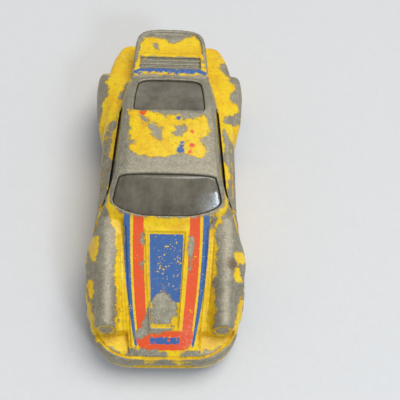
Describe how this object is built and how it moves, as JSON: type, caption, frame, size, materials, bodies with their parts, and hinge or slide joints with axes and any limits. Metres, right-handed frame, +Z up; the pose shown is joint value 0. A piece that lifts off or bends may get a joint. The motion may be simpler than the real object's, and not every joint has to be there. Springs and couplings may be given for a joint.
{
  "type": "pull back car",
  "caption": "Pocket die-cast sports coupe with box flares and a rear wing, with a geared spring motor that winds when the car is pulled back.",
  "frame": {"origin": "on the ground, under the middle of the car's length and width", "axes": "-Y towards the nose, +X the car's left side, +Z up"},
  "size_m": [0.032, 0.072, 0.0213],
  "materials": {
    "enamelled_zinc": "satin",
    "smoked_plastic": "gloss",
    "interior_plastic": "matte",
    "base_plastic": "satin",
    "plated_steel": "satin",
    "wheel_plastic": "satin",
    "tyre_rubber": "matte",
    "gear_nylon": "satin",
    "gear_brass": "satin",
    "spring_steel": "polished",
    "case_plastic": "satin"
  },
  "bodies": {
    "chassis": {"body_shell": "enamelled_zinc", "window_glass": "smoked_plastic", "interior_tub": "interior_plastic", "baseplate": "base_plastic", "base_screws": "plated_steel", "clutch_gear_pin": "plated_steel", "transfer_gear_pin": "plated_steel", "motor_case_left": "case_plastic", "motor_case_right": "case_plastic"},
    "front_wheelset": {"front_axle": "plated_steel", "front_wheel_left": "wheel_plastic", "front_wheel_right": "wheel_plastic"},
    "rear_wheelset": {"rear_axle": "plated_steel", "rear_hub_left": "wheel_plastic", "rear_hub_right": "wheel_plastic", "rear_tyre_left": "tyre_rubber", "rear_tyre_right": "tyre_rubber", "axle_pinion": "gear_brass"},
    "clutch_gear": {"clutch_gear": "gear_nylon"},
    "transfer_gear": {"transfer_gear": "gear_nylon"},
    "spring_drum": {"spring_gear": "gear_nylon", "spring_arbor": "plated_steel", "mainspring": "spring_steel"}
  },
  "joints": [
    {"name": "front_axle_spin", "type": "hinge", "parent": "chassis", "child": "front_wheelset", "pos_m": [0, -0.0215, 0.0053], "axis": [1, 0, 0], "continuous": true},
    {"name": "rear_axle_spin", "type": "hinge", "parent": "chassis", "child": "rear_wheelset", "pos_m": [0, 0.017, 0.0053], "axis": [1, 0, 0], "continuous": true},
    {"name": "clutch_gear_spin", "type": "hinge", "parent": "chassis", "child": "clutch_gear", "pos_m": [0, 0.01518, 0.00873], "axis": [1, 0, 0], "continuous": true},
    {"name": "transfer_gear_spin", "type": "hinge", "parent": "chassis", "child": "transfer_gear", "pos_m": [0, 0.00973, 0.00732], "axis": [1, 0, 0], "continuous": true},
    {"name": "spring_gear_spin", "type": "hinge", "parent": "chassis", "child": "spring_drum", "pos_m": [0, 0.00376, 0.00768], "axis": [1, 0, 0], "continuous": true}
  ],
  "couplings": [
    {"joint": "clutch_gear_spin", "follows": "rear_axle_spin", "ratio": -0.83333},
    {"joint": "transfer_gear_spin", "follows": "rear_axle_spin", "ratio": 0.5},
    {"joint": "spring_gear_spin", "follows": "rear_axle_spin", "ratio": -0.20833}
  ]
}
